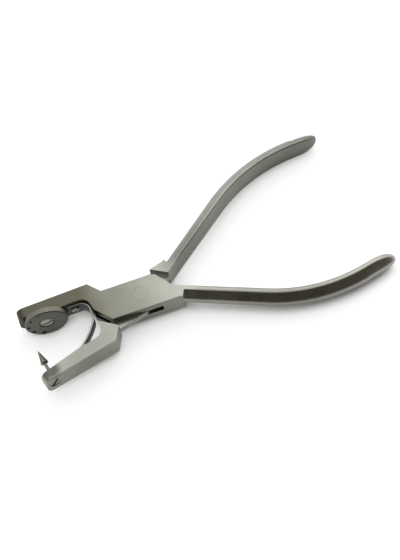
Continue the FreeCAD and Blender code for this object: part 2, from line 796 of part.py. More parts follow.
def coil(radius, pitch, turns, wire_radius):
    """A coil of wire: one tube along two arcs for each half turn. Its wire has eight flat sides in place of a
    round, as it lies hidden in its bore. It also gives the least gap between neighbouring turns, measured on
    points of its line."""
    edges = []
    for half in range(int(turns * 2)):
        here, way = coil_spot(half / 2, radius, pitch)
        there, way_on = coil_spot((half + 1) / 2, radius, pitch)
        across, both = there - here, way + way_on
        spare = 4 - both.dot(both)
        reach = math.sqrt(across.dot(both) ** 2 + spare * across.dot(across))
        reach = (reach - across.dot(both)) / spare
        first, second = here + way * reach, there - way_on * reach
        meet = (first + second) / 2
        edges.append(arc_between(here, first, meet))
        edges.append(arc_between(meet, second, there))
    start, way = coil_spot(0, radius, pitch)
    out = start.normalize()
    side = way.cross(out)
    corners = [math.radians(45 * n) for n in range(9)]
    ring = [out * radius + (out * math.cos(a) + side * math.sin(a)) * wire_radius for a in corners]
    section = Part.makePolygon(ring)
    tube = Part.Wire(edges).makePipeShell([section], True, False)
    points = [coil_spot(n / 36, radius, pitch)[0] for n in range(int(turns * 36) + 1)]
    gap = min(a.distanceToPoint(b) for i, a in enumerate(points) for b in points[i + 18:])
    return tube, gap - 2 * wire_radius


coil_radius = s.ball_radius.number - s.coil_wire_radius.number
ball_to_wire = s.ball_radius.number + s.coil_wire_radius.number + s.detent_play.number
coil_top = s.ball_radius.number + math.sqrt(ball_to_wire**2 - coil_radius**2)
coil_foot = s.detent_bore_depth.number - s.coil_wire_radius.number - s.detent_play.number
coil_pitch = (coil_foot - coil_top) / s.coil_turns.number
coil_tube, coil_gap = coil(coil_radius, coil_pitch, s.coil_turns.number, s.coil_wire_radius.number)
print(f"detent spring: least gap between turns {coil_gap:.2f} mm")
detent_spring = doc.addObject("Part::Feature", "detent_spring")
detent_spring.Label = "detent_spring"
detent_spring.Shape = coil_tube
detent_spring.Placement = DRUM_HALF * DETENT_FRAME * Placement(Vector(0, 0, coil_top), Rotation())

# The leaf spring: a strip screwed flat into the recess, bent round its corner and bowed across to the other
# jaw. Its middle line has a straight root, a root bend, a straight side, a knee, a bow and a straight tip.
leaf_spring = new_body("leaf_spring")
leaf_half = s.leaf_thick / 2
leaf_spot = (-s.leaf_root_fore, s.recess_depth - leaf_half)
leaf_heading = measure(0)
outer_side = [(-s.leaf_root_end, s.recess_depth)]
inner_side = [(-s.leaf_root_end, s.recess_depth - s.leaf_thick)]


def beside(spot, heading, distance):
    """The spot at a distance to the left of a line."""
    return (spot[0] - sin(heading) * distance, spot[1] + cos(heading) * distance)


def onward(spot, heading, distance):
    """The spot at a distance along a line."""
    return (spot[0] + cos(heading) * distance, spot[1] + sin(heading) * distance)


follows_straight = True
for bend_radius, bend_turn, straight in (
    (s.leaf_root_radius, s.leaf_root_angle, s.leaf_side_length),
    (s.leaf_knee_radius, s.leaf_knee_angle, None),
    (s.leaf_bow_radius, s.leaf_bow_angle, None),
):
    outer_side.append((*beside(leaf_spot, leaf_heading, leaf_half), bend_radius + leaf_half, -1))
    if follows_straight:
        inner_side.append(beside(leaf_spot, leaf_heading, -leaf_half))
    bend_centre = beside(leaf_spot, leaf_heading, -bend_radius)
    leaf_heading = leaf_heading - bend_turn
    leaf_spot = beside(bend_centre, leaf_heading, bend_radius)
    inner_side.append((*beside(leaf_spot, leaf_heading, -leaf_half), bend_radius - leaf_half, 1))
    follows_straight = straight is not None
    if follows_straight:
        outer_side.append(beside(leaf_spot, leaf_heading, leaf_half))
        leaf_spot = onward(leaf_spot, leaf_heading, straight)
# The tip stops just short of the point half's seat, which lies across the drum half's frame at this angle.
across_tilt = s.seat_tilt + s.opening_angle
far_seat = seat_from_pivot - s.leaf_tip_gap
tip_left = beside(leaf_spot, leaf_heading, leaf_half)
short_of_seat = far_seat - tip_left[0] * sin(across_tilt) + tip_left[1] * cos(across_tilt)
leaf_tip_length = short_of_seat / sin(across_tilt - leaf_heading)
leaf_tip = onward(leaf_spot, leaf_heading, leaf_tip_length)
outer_side.append(tip_left)
outer_side.append(beside(leaf_tip, leaf_heading, leaf_half))
inner_side.append(beside(leaf_tip, leaf_heading, -leaf_half))
pad(leaf_spring, "leaf_strip", outer_side + inner_side[::-1], s.leaf_width)
taper = new_sketch(leaf_spring, "leaf_taper_outlines", "YZ_Plane")
for side in (1, -1):
    edge = s.leaf_width * side / 2
    beyond = edge + s.overrun * side
    run_out = edge - (s.leaf_width - s.leaf_tip_width) * side
    outline(taper, [(0, edge), (leaf_tip[1] * 2, run_out), (leaf_tip[1] * 2, beyond), (0, beyond)])
pocket(leaf_spring, "leaf_taper", taper, s.jaw_reach * 2, midplane=True)
eye = new_sketch(leaf_spring, "leaf_eye_outline", "XZ_Plane")
circle(eye, -s.leaf_screw_place, 0, s.leaf_screw_stem_radius + s.leaf_screw_play)
pocket(leaf_spring, "leaf_eye", eye, s.recess_depth + s.overrun)
leaf_spring.Placement = DRUM_HALF

# The point: a sharp cone on a thin neck, its body in the jaw, and a flange under the lock screw.
punch_point = new_body("punch_point")
turned(
    punch_point,
    "point_turned",
    [
        (0, 0),
        (s.point_tip_radius, 0),
        (s.point_cone_radius, s.point_cone_length),
        (s.point_neck_radius, s.point_cone_length + s.point_neck_length),
        (s.point_neck_radius, point_seat),
        (s.point_radius, point_seat),
        (s.point_radius, flange_foot),
        (s.point_flange_radius, flange_foot),
        (s.point_flange_radius, lock_foot),
        (0, lock_foot),
    ],
)
punch_point.Placement = POINT_HALF * POINT_FRAME

point_lock_screw = new_body("point_lock_screw")
lock_nodes = [(0, lock_foot), (s.lock_radius, lock_foot), (s.lock_radius, lock_top), (0, lock_top)]
turned(point_lock_screw, "lock_turned", lock_nodes)
slot_floor = lock_top - s.lock_slot_depth
lock_slot_turn = s.lock_slot_angle
lock_slot = new_sketch(point_lock_screw, "lock_slot_outline", "XY_Plane", up=slot_floor, turn=lock_slot_turn)
lock_reach = s.lock_radius + s.overrun
outline(
    lock_slot,
    [
        (-lock_reach, -s.lock_slot_half),
        (lock_reach, -s.lock_slot_half),
        (lock_reach, s.lock_slot_half),
        (-lock_reach, s.lock_slot_half),
    ],
)
pocket(point_lock_screw, "lock_slot", lock_slot, s.lock_slot_depth + s.overrun, reverse=True)
point_lock_screw.Placement = POINT_HALF * POINT_FRAME

# How far the jaws close until the point meets the face of the drum.
closing = s.opening_angle.number + s.seat_tilt.number - point_lean
print(f"the point meets the drum's face after closing {closing:.2f} degrees, square to it")
drum_axis = hole_drum.Placement.Rotation.multVec(Vector(0, 0, 1))
print(f"drum centre {hole_drum.Placement.Base}, axis {drum_axis}, {drum_place.number:.2f} mm along its jaw")

doc.recompute()
pieces = [
    drum_half,
    point_half,
    pivot_pin,
    hole_drum,
    drum_screw,
    detent_ball,
    detent_spring,
    leaf_spring,
    leaf_spring_screw,
    punch_point,
    point_lock_screw,
]
for thing in doc.Objects:
    if "Invalid" in thing.State or "Error" in thing.State:
        raise RuntimeError(f"{thing.Name} is not sound: {thing.State}")
os.makedirs("parts", exist_ok=True)
for piece in pieces:
    shape = piece.Shape
    if shape.isNull() or not shape.isValid() or len(shape.Solids) != 1:
        raise RuntimeError(f"{piece.Label} is not one sound solid")
    print(f"{piece.Label}: {shape.Volume:.1f} mm3")
    shape.exportStep(f"parts/{piece.Label}.step")
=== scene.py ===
# %% [markdown]
# # Rubber dam punch
#
# This lesson dresses a small steel hand tool. Two forged halves cross in a box joint, like a pair of pliers.
# One jaw carries a turning drum with graded holes, the other a sharp point, and a leaf spring holds the two
# jaws apart.
#
# The shapes come from the imported model, which stays as it is. The lesson adds what a workshop adds last: the
# satin grinding of the flats, the softer finish of the turned pieces, the drum's dark tone, and light that
# shows them. Some light and shade is also painted into the colours of the steel.

# %% Load the tool
import json
import math

import bmesh
import bpy
from mathutils import Matrix, Vector


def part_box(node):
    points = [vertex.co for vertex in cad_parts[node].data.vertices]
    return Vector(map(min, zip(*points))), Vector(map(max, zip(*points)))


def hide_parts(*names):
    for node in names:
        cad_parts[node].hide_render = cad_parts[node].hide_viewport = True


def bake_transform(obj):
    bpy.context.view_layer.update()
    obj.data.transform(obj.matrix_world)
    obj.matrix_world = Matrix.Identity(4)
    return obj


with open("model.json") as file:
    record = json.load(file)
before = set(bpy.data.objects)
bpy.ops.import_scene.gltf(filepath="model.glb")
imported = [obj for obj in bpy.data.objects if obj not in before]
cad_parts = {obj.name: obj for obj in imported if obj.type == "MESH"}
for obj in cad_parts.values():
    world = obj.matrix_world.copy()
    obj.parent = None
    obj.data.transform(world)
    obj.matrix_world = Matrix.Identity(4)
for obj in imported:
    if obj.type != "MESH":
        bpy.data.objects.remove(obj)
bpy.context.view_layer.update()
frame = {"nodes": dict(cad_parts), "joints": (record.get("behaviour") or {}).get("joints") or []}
scene = bpy.context.scene
MM = 0.001
print("pieces:", ", ".join(sorted(frame["nodes"])))

# %% [markdown]
# ## The camera
#
# The tool is seen from above and in front, as it lies on a table, with a long lens from more than a metre
# away. A long lens keeps the two handles nearly the same width, as in the picture of the tool. The camera
# looks at a spot beside the pivot, turned a little about its own line of sight.

# %% Set up the camera
LOOK_AT = Vector((27.0, -4.0, 5.35)) * MM
CAMERA_DISTANCE = 1.248
CAMERA_RISE = math.radians(61.77)
CAMERA_SWING = math.radians(13.06)
CAMERA_ROLL = math.radians(14.0)
CAMERA_NEAR = 0.05
SENSOR = 36.0
FOCAL_SHARE = 2820 / 560

line_of_sight = Vector(
    (
        math.sin(CAMERA_SWING) * math.cos(CAMERA_RISE),
        math.cos(CAMERA_SWING) * math.cos(CAMERA_RISE),
        -math.sin(CAMERA_RISE),
    )
)
camera = bpy.data.objects.new("camera", bpy.data.cameras.new("camera"))
scene.collection.objects.link(camera)
camera.data.sensor_width = SENSOR
camera.data.lens = SENSOR * FOCAL_SHARE
camera.data.clip_start = CAMERA_NEAR
camera.matrix_world = (
    Matrix.Translation(LOOK_AT - line_of_sight * CAMERA_DISTANCE)
    @ Matrix.Rotation(CAMERA_ROLL, 4, line_of_sight)
    @ line_of_sight.to_track_quat("-Z", "Y").to_matrix().to_4x4()
)
scene.camera = camera
print("lens", round(camera.data.lens, 1), "mm")

# %% [markdown]
# ## The table
#
# The drum is wider than the jaws are thick, so the tool doesn't lie flat. It rests on the drum's rim and on
# the two handles, and the table leans a little against it. Leaning the table keeps the tool in its own frame.
# The plane goes through the lowest line of the drum and the flats of the handles.

# %% Lay the table under the drum and the handles
HANDLE_REST_SHARE = 0.92
TABLE_GAP = 0.05 * MM
TABLE_SIZE = 6.0
TABLE_SQUARES = 8

drum_low, drum_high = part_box("hole_drum")
half_low, half_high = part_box("drum_half")
rest_x = half_high.x * HANDLE_REST_SHARE
drum_x = (drum_low.x + drum_high.x) / 2
lean = math.atan2(-drum_low.z, rest_x - drum_x)

table_mesh = bpy.data.meshes.new("table")
shape = bmesh.new()
bmesh.ops.create_grid(shape, x_segments=TABLE_SQUARES, y_segments=TABLE_SQUARES, size=TABLE_SIZE / 2)
shape.to_mesh(table_mesh)
shape.free()
table = bpy.data.objects.new("table", table_mesh)
scene.collection.objects.link(table)
table.matrix_world = Matrix.Translation((rest_x, 0, -TABLE_GAP)) @ Matrix.Rotation(-lean, 4, "Y")
print("the table leans", round(math.degrees(lean), 2), "degrees")

# %% [markdown]
# ## Helpers for the materials
#
# Every material here is a small graph of nodes. One helper adds a node: it sets the plain values on the
# node's inputs and links the outputs of other nodes to them. A second fades a value softly between two
# limits, and a third works out a number from others.

# %% Helpers for the materials
def add_node(tree, kind, values=None, **settings):
    """Add a node. Plain values are set on its inputs, and other nodes' outputs are linked to them."""
    node = tree.nodes.new(kind)
    for name, setting in settings.items():
        setattr(node, name, setting)
    for place, value in (values or {}).items():
        if isinstance(value, bpy.types.NodeSocket):
            tree.links.new(value, node.inputs[place])
        else:
            node.inputs[place].default_value = value
    return node


def fade(tree, value, low, high, least=0.0, most=1.0):
    """Fade softly from the least to the most while a value goes from its low to its high limit."""
    limits = {"Value": value, "From Min": low, "From Max": high, "To Min": least, "To Max": most}
    return add_node(tree, "ShaderNodeMapRange", limits, interpolation_type="SMOOTHSTEP").outputs["Result"]


def reckon(tree, operation, *values):
    """Work out a number from plain numbers and other nodes' outputs."""
    return add_node(tree, "ShaderNodeMath", dict(enumerate(values)), operation=operation).outputs[0]


def new_material(name):
    """Make an empty material, and give it with its graph and its output node."""
    material = bpy.data.materials.new(name)
    material.use_nodes = True
    tree = material.node_tree
    tree.nodes.clear()
    return material, tree, tree.nodes.new("ShaderNodeOutputMaterial")


# %% [markdown]
# A white page shows only the soft shadow. The table is a pale matt board that keeps its shadow, and a little
# even light is added to it for the camera and for the steel that mirrors it, so that it reads as white in
# both. The added light is held back where the tool stands close, and the board itself is darkened where the
# tool shuts in more of its sky, so that the shadow stays deep in the corners between the jaws.

# %% Paint the table
TABLE_WHITE = (0.86, 0.86, 0.86)
TABLE_GLOW_SEEN = 0.55
TABLE_GLOW_MIRRORED = 0.30
CLOSE_REACH = 7 * MM
CLOSE_SHUT_IN, CLOSE_IN_THE_OPEN = 0.20, 0.80
DEEP_REACH = 16 * MM
DEEP_SHUT_IN, DEEP_IN_THE_OPEN = 0.10, 0.75
DEEP_SHARE = 0.36
SKY_SAMPLES = 12


def open_sky(tree, reach):
    """How much of the sky a spot sees past what stands within reach of it."""
    sky = add_node(tree, "ShaderNodeAmbientOcclusion", {"Distance": reach}, samples=SKY_SAMPLES)
    return sky.outputs["AO"]


board, tree, output = new_material("pale_board")
rays = add_node(tree, "ShaderNodeLightPath").outputs
seen = reckon(tree, "MULTIPLY", rays["Is Camera Ray"], TABLE_GLOW_SEEN)
mirrored = reckon(tree, "MAXIMUM", rays["Is Glossy Ray"], rays["Is Transmission Ray"])
strength = reckon(tree, "MULTIPLY_ADD", mirrored, TABLE_GLOW_MIRRORED, seen)
held_back = fade(tree, open_sky(tree, CLOSE_REACH), CLOSE_SHUT_IN, CLOSE_IN_THE_OPEN)
glow = add_node(tree, "ShaderNodeEmission", {"Strength": reckon(tree, "MULTIPLY", strength, held_back)})
darkened = fade(tree, open_sky(tree, DEEP_REACH), DEEP_SHUT_IN, DEEP_IN_THE_OPEN, DEEP_SHARE)
paper = add_node(tree, "ShaderNodeVectorMath", {0: TABLE_WHITE, "Scale": darkened}, operation="SCALE")
matt = add_node(tree, "ShaderNodeBsdfDiffuse", {"Color": paper.outputs[0]})
both = add_node(tree, "ShaderNodeAddShader", {0: matt.outputs[0], 1: glow.outputs[0]})
tree.links.new(both.outputs[0], output.inputs["Surface"])
table_mesh.materials.append(board)
print("the board glows by", TABLE_GLOW_SEEN, "to the camera and by", TABLE_GLOW_MIRRORED, "to the steel")

# %% [markdown]
# ## The light
#
# Satin steel shows the room more than itself. Three things make this picture. A pale dome stands behind,
# above and to the right, and the flat top mirrors it. A large soft lamp behind gives the dome a bright
# middle. In front, where the observer stands, the room is dark and brown. The sloped flank of the lower
# handle mirrors that darkness as one long band.
#
# The dome's level is close to 1, so a finish renders about as light as its written colour.

# %% Hang the lamp
LAMP_AT = Vector((0.40, 0.60, 0.95))
LAMP_SIZE = 0.9
LAMP_POWER = 1.2

scene.view_settings.view_transform = "Standard"
lamp = bpy.data.lights.new("back_lamp", "AREA")
lamp.shape = "SQUARE"
lamp.size = LAMP_SIZE
lamp.energy = LAMP_POWER
holder = bpy.data.objects.new("back_lamp", lamp)
scene.collection.objects.link(holder)
towards_tool = (-LAMP_AT).to_track_quat("-Z", "Y").to_matrix().to_4x4()
holder.matrix_world = Matrix.Translation(LAMP_AT) @ towards_tool
lamp_level = LAMP_POWER / (math.pi * LAMP_SIZE**2)
print("the lamp's face gives", round(lamp_level, 2), "where the dome gives about 1")

# %% [markdown]
# The room is painted by direction alone. Its tone fades from the dark front to the pale back by how far a
# direction points along Y, and a second fade dims the left side, which the jaws' round ends mirror. The
# camera itself sees only white past the table's edge.

# %% Paint the room
ROOM_BACK = (0.93, 0.93, 0.93, 1)
ROOM_FRONT = (0.075, 0.06, 0.042, 1)
PAGE_WHITE = (1, 1, 1, 1)
FRONT_DARK, FRONT_LIGHT = -0.60, -0.10
LEFT_DARK, LEFT_LIGHT, LEFT_SHARE = -0.85, -0.25, 0.45

world = bpy.data.worlds.new("studio")
scene.world = world
world.use_nodes = True
tree = world.node_tree
tree.nodes.clear()
direction = add_node(tree, "ShaderNodeTexCoord").outputs["Generated"]
along = add_node(tree, "ShaderNodeSeparateXYZ", {0: direction}).outputs
back_share = fade(tree, along["Y"], FRONT_DARK, FRONT_LIGHT)
left_share = fade(tree, along["X"], LEFT_DARK, LEFT_LIGHT, LEFT_SHARE)
tones = {"Factor": back_share, "A": ROOM_FRONT, "B": ROOM_BACK}
tone = add_node(tree, "ShaderNodeMix", tones, data_type="RGBA").outputs["Result"]
room = add_node(tree, "ShaderNodeBackground", {"Color": tone, "Strength": left_share})
page = add_node(tree, "ShaderNodeBackground", {"Color": PAGE_WHITE})
seen = add_node(tree, "ShaderNodeLightPath").outputs["Is Camera Ray"]
choice = add_node(tree, "ShaderNodeMixShader", {"Fac": seen, 1: room.outputs[0], 2: page.outputs[0]})
add_node(tree, "ShaderNodeOutputWorld", {"Surface": choice.outputs[0]})
print("the room goes from", ROOM_FRONT[:3], "in front to", ROOM_BACK[:3], "behind")

# %% [markdown]
# ## Satin steel
#
# Every piece is stainless steel, and every piece was finished on another machine. The helper makes one kind
# of satin: a base tone with broad cloudy variation, fine grinding lines that run one way, fine pits, and a
# painted highlight that makes the edges a little brighter; with a gain below zero it paints a line of shade
# there instead. The lines are too fine to see singly from a step away, but they spread the light. The
# roughness changes only with the broad clouds: where a dark flank mirrors the edge of the dark front, a
# roughness that changed from line to line would show as grain.
#
# A Bevel node rounds the edges for the light alone, which costs no faces. Its radius can differ from place to
# place: the handles are rounded by hand on a belt and the box joint stays crisp.

# %% A helper for satin steel
EDGE_ROUND = 0.22 * MM
EDGE_SAMPLES = 16
EDGE_TURNED, EDGE_FLAT = 0.85, 0.995
NOISE_LOW, NOISE_HIGH = 0.3, 0.7
CLOUDS_IN_A_METRE, CLOUD_DETAIL = 90.0, 4.0
PITS_IN_A_METRE, PIT_DETAIL, PIT_SHARE = 2600.0, 2.0, 0.5
LINE_DETAIL, LINES_SHARE = 3.0, 0.035
SATIN_CHANGE = 0.012
RELIEF = 0.001 * MM


def noise(tree, place, scale, detail):
    """Cloudy noise over a piece, with about so many lumps in a metre."""
    values = {"Vector": place, "Scale": scale, "Detail": detail}
    return add_node(tree, "ShaderNodeTexNoise", values).outputs["Fac"]


def spread(tree, value, middle, change):
    """Turn noise into a number that varies softly about its middle."""
    return fade(tree, value, NOISE_LOW, NOISE_HIGH, middle - change, middle + change)


def satin_steel(name, tone, roughness, grain, cloud=0.06, edge_gain=0.12, edge_round=EDGE_ROUND):
    """Satin steel. The grain gives how many lines lie in a metre along X, Y and Z; the edge gain paints light
    on the edges, and shade when below zero.
    """
    material, tree, output = new_material(name)
    place = add_node(tree, "ShaderNodeTexCoord", name="where").outputs["Object"]
    stretched = add_node(tree, "ShaderNodeMapping", {"Vector": place, "Scale": grain}).outputs[0]
    clouds = noise(tree, place, CLOUDS_IN_A_METRE, CLOUD_DETAIL)
    lines = noise(tree, stretched, 1.0, LINE_DETAIL)
    pits = noise(tree, place, PITS_IN_A_METRE, PIT_DETAIL)

    edge = add_node(tree, "ShaderNodeBevel", {"Radius": edge_round}, samples=EDGE_SAMPLES, name="round_edge")
    flat = add_node(tree, "ShaderNodeNewGeometry").outputs["Normal"]
    bend = add_node(tree, "ShaderNodeVectorMath", {0: edge.outputs[0], 1: flat}, operation="DOT_PRODUCT")
    # Painted highlight along the edges, where the rounded normal bends away; a gain below zero paints shade
    # there.
    painted_edge_light = fade(tree, bend.outputs["Value"], EDGE_TURNED, EDGE_FLAT, edge_gain, 0.0)
    cloudy = spread(tree, clouds, 1, cloud)
    lined = spread(tree, lines, 1, LINES_SHARE)
    gain = reckon(tree, "MULTIPLY_ADD", cloudy, lined, painted_edge_light)
    colour = add_node(tree, "ShaderNodeVectorMath", {0: tone, "Scale": gain}, operation="SCALE", name="tone")

    relief = reckon(tree, "MULTIPLY_ADD", pits, PIT_SHARE, lines)
    bump = add_node(tree, "ShaderNodeBump", {"Distance": RELIEF, "Height": relief, "Normal": edge.outputs[0]})
    steel = add_node(tree, "ShaderNodeBsdfPrincipled")
    steel.inputs["Metallic"].default_value = 1.0
    tree.links.new(colour.outputs[0], steel.inputs["Base Color"])
    tree.links.new(spread(tree, clouds, roughness, SATIN_CHANGE), steel.inputs["Roughness"])
    tree.links.new(bump.outputs[0], steel.inputs["Normal"])
    tree.links.new(steel.outputs[0], output.inputs["Surface"])
    return material


def wear(node, material):
    """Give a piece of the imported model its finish."""
    mesh = frame["nodes"][node].data
    mesh.materials.clear()
    mesh.materials.append(material)
    print(node, "wears", material.name)


# %% [markdown]
# ## The forged halves
#
# The halves are forged, ground flat on a belt along their length, and blasted with fine glass. The flats
# aren't one even grey: painted reflection and shade fade along them. The jaw of the drum is painted a dull
# olive, the other jaw paler, and both lighter towards the joint and the handles, where the flats mirror the
# bright room. The walls are painted darker than the flats, as shade for the shadowed table that they mirror.
#
# A colour ramp along X carries the painted fade, and the direction that a face points in tells a flat from a
# wall, which gets the painted shade.

# %% Helpers for the tones of a half
FACING_LOW, FACING_HIGH = 0.25, 0.75
DARK_SPOT_CORE_SHARE = 0.3


def fade_along(material, tones):
    """Let the tone change along X through the given tones, each with its place in millimetres."""
    tree = material.node_tree
    low, high = tones[0][0], tones[-1][0]
    along = add_node(tree, "ShaderNodeSeparateXYZ", {0: tree.nodes["where"].outputs["Object"]}).outputs["X"]
    limits = {"Value": along, "From Min": low * MM, "From Max": high * MM}
    share = add_node(tree, "ShaderNodeMapRange", limits).outputs["Result"]
    ramp = add_node(tree, "ShaderNodeValToRGB", {"Fac": share})
    for at, tone in tones[1:-1]:
        ramp.color_ramp.elements.new((at - low) / (high - low))
    for stop, (at, tone) in zip(ramp.color_ramp.elements, tones):
        stop.color = (*tone, 1)
    tree.links.new(ramp.outputs["Color"], tree.nodes["tone"].inputs[0])


def scale_tone(material, share):
    """Multiply the scale of the tone by one more share."""
    tree = material.node_tree
    scale = tree.nodes["tone"].inputs["Scale"]
    tree.links.new(reckon(tree, "MULTIPLY", share, scale.links[0].from_socket), scale)


def paint_light_and_shade_by_facing(material, share, axis=(0, 0, 1)):
    """Scale the tone of the faces that stand along an axis, against those that face it: a share below 1 paints
    shade on them, one above 1 paints light.
    """
    tree = material.node_tree
    directions = {0: tree.nodes["where"].outputs["Normal"], 1: axis}
    facing = add_node(tree, "ShaderNodeVectorMath", directions, operation="DOT_PRODUCT").outputs["Value"]
    either_way = reckon(tree, "ABSOLUTE", facing)
    scale_tone(material, fade(tree, either_way, FACING_LOW, FACING_HIGH, share))


def darken_round_spot(material, spot, reach, share):
    """Darken the tone softly round a spot."""
    tree = material.node_tree
    spots = {0: tree.nodes["where"].outputs["Object"], 1: spot}
    away = add_node(tree, "ShaderNodeVectorMath", spots, operation="DISTANCE").outputs["Value"]
    scale_tone(material, fade(tree, away, reach * DARK_SPOT_CORE_SHARE, reach, share))


# %% [markdown]
# The handles' long edges are much rounder than the joint's. Over the pin the ground face runs on unbroken, so
# there the edges aren't rounded at all.

# %% A helper for the edges of a half
HANDLE_FROM, HANDLE_FULL = 19 * MM, 27 * MM
HANDLE_ROUND = 1.6 * MM
PIN_REACH, PIN_REACH_END = 3.9 * MM, 4.29 * MM


def soften_edges(material):
    """Round the handles' edges more than the joint's, and leave the ground face over the pin unbroken."""
    tree = material.node_tree
    place = tree.nodes["where"].outputs["Object"]
    along = add_node(tree, "ShaderNodeSeparateXYZ", {0: place}).outputs["X"]
    radius = fade(tree, along, HANDLE_FROM, HANDLE_FULL, EDGE_ROUND, HANDLE_ROUND)
    level = add_node(tree, "ShaderNodeVectorMath", {0: place, 1: (1, 1, 0)}, operation="MULTIPLY").outputs[0]
    from_pin = add_node(tree, "ShaderNodeVectorMath", {0: level}, operation="LENGTH").outputs["Value"]
    kept = reckon(tree, "MULTIPLY", radius, fade(tree, from_pin, PIN_REACH, PIN_REACH_END))
    tree.links.new(kept, tree.nodes["round_edge"].inputs["Radius"])


# %% Finish the two halves and the pin
GROUND_GREY = (0.45, 0.46, 0.42)
GROUND_ROUGHNESS = 0.28
GROUND_GRAIN = (400, 4000, 4000)
# Painted shade on the walls of each half, for the shadowed table that they mirror.
DRUM_WALL_PAINTED_SHADE, POINT_WALL_PAINTED_SHADE = 0.72, 0.85
# Painted reflection and shade along the drum's half: dark at the jaw, lighter where the flats mirror the
# bright room.
DRUM_HALF_PAINTED_LIGHT_TONES = (
    (-50, (0.105, 0.101, 0.072)),
    (-24, (0.122, 0.118, 0.086)),
    (-15, (0.225, 0.225, 0.185)),
    (-4, (0.275, 0.278, 0.235)),
    (16, (0.44, 0.45, 0.39)),
    (60, (0.34, 0.345, 0.305)),
    (110, (0.52, 0.52, 0.47)),
)
# Painted reflection and shade along the point's half: lighter where its flats mirror the bright room, darker
# where they don't.
POINT_HALF_PAINTED_LIGHT_TONES = (
    (-50, (0.37, 0.375, 0.33)),
    (-30, (0.32, 0.325, 0.28)),
    (12, (0.42, 0.43, 0.38)),
    (22, (0.22, 0.22, 0.19)),
    (58, (0.36, 0.365, 0.32)),
    (110, (0.20, 0.20, 0.177)),
)
# The point's jaw is darker round a spot at its end, near the point's seat.
DARK_SPOT_AT = Vector((-50.0, -15.5, 10.7)) * MM
DARK_SPOT_REACH = 5.5 * MM
DARK_SPOT_SHARE = 0.35

drum_half_finish = satin_steel("drum_half_ground_steel", GROUND_GREY, GROUND_ROUGHNESS, GROUND_GRAIN)
point_half_finish = satin_steel("point_half_ground_steel", GROUND_GREY, GROUND_ROUGHNESS, GROUND_GRAIN)
pin_finish = satin_steel("flush_pin_steel", GROUND_GREY, GROUND_ROUGHNESS, GROUND_GRAIN, edge_round=0.0)
# The ramps paint reflection and shade into the tones of the halves and the pin along X.
fade_along(drum_half_finish, DRUM_HALF_PAINTED_LIGHT_TONES)
fade_along(pin_finish, DRUM_HALF_PAINTED_LIGHT_TONES)
fade_along(point_half_finish, POINT_HALF_PAINTED_LIGHT_TONES)
# Each half gets painted shade on its walls, and rounder edges on its handles.
for finish, wall_painted_shade in ((drum_half_finish, DRUM_WALL_PAINTED_SHADE), (point_half_finish, POINT_WALL_PAINTED_SHADE)):
    paint_light_and_shade_by_facing(finish, wall_painted_shade)
    soften_edges(finish)
darken_round_spot(point_half_finish, DARK_SPOT_AT, DARK_SPOT_REACH, DARK_SPOT_SHARE)
wear("drum_half", drum_half_finish)
wear("point_half", point_half_finish)
wear("pivot_pin", pin_finish)

# %% [markdown]
# ## The small steel pieces
#
# The drum is turned, and its steel has a dark tone that is partly its own and partly painted shade, for the
# shadowed table that its face mirrors; its grooved rim and its edges carry a painted highlight. The screws are
# turned and brighter. The spring's screw is lighter still, a painted highlight on its domed head, and it and
# the lock screw have a painted line of shade at their rims, where the gap round each head lies in shade. The
# spring has the grey of tempered strip, with painted shade on its sides, which stand in the shade between the
# jaws, and the point is turned and left as it is.

# %% Finish the drum, the screws, the springs and the point
DRUM_GRAIN = (2500, 2500, 2500)
TURNED_GRAIN = (3000, 3000, 3000)
STRIP_GRAIN = (600, 600, 5000)
POINT_GRAIN = (1500, 6000, 1500)
# Painted highlight on the drum's edges, and a painted line of shade at the small screws' rims.
DRUM_EDGE_PAINTED_HIGHLIGHT, PAINTED_EDGE_SHADE = 0.25, -0.85
# Painted highlight on the drum's grooved rim.
DRUM_RIM_PAINTED_HIGHLIGHT = 1.9
# Painted shade on the strip's sides, which stand in the shade between the jaws.
STRIP_SIDE_PAINTED_SHADE = 0.22

# The drum's dark tone is partly painted shade, and its rim and edges get a painted highlight.
drum_finish = satin_steel("dark_drum_steel_painted_shade", (0.13, 0.13, 0.108), 0.38, DRUM_GRAIN, edge_gain=DRUM_EDGE_PAINTED_HIGHLIGHT)
drum_joint = next(joint for joint in frame["joints"] if joint["name"] == "drum_turn")
paint_light_and_shade_by_facing(drum_finish, DRUM_RIM_PAINTED_HIGHLIGHT, drum_joint["axis"])
# Tempered strip, with painted shade on its sides.
strip = satin_steel("tempered_strip_steel", (0.36, 0.36, 0.32), 0.30, STRIP_GRAIN)
paint_light_and_shade_by_facing(strip, STRIP_SIDE_PAINTED_SHADE)
turned = satin_steel("turned_screw_steel", (0.36, 0.36, 0.32), 0.28, TURNED_GRAIN)
# The spring's screw: a lighter tone as a painted highlight on its head, and a painted line of shade at its
# rim.
spring_screw_painted_light = satin_steel(
    "spring_screw_steel_painted_highlight", (0.42, 0.41, 0.36), 0.24, TURNED_GRAIN, edge_gain=PAINTED_EDGE_SHADE
)
# The lock screw: a painted line of shade at its rim, for the gap round its head.
lock_finish = satin_steel(
    "turned_lock_screw_steel", (0.27, 0.27, 0.24), 0.28, TURNED_GRAIN, edge_gain=PAINTED_EDGE_SHADE
)
point_finish = satin_steel("turned_point_steel", (0.22, 0.22, 0.195), 0.30, POINT_GRAIN)
for node, finish in (
    ("hole_drum", drum_finish),
    ("drum_screw", turned),
    ("detent_ball", turned),
    ("detent_spring", strip),
    ("leaf_spring_screw", spring_screw_painted_light),
    ("punch_point", point_finish),
    ("point_lock_screw", lock_finish),
):
    wear(node, finish)

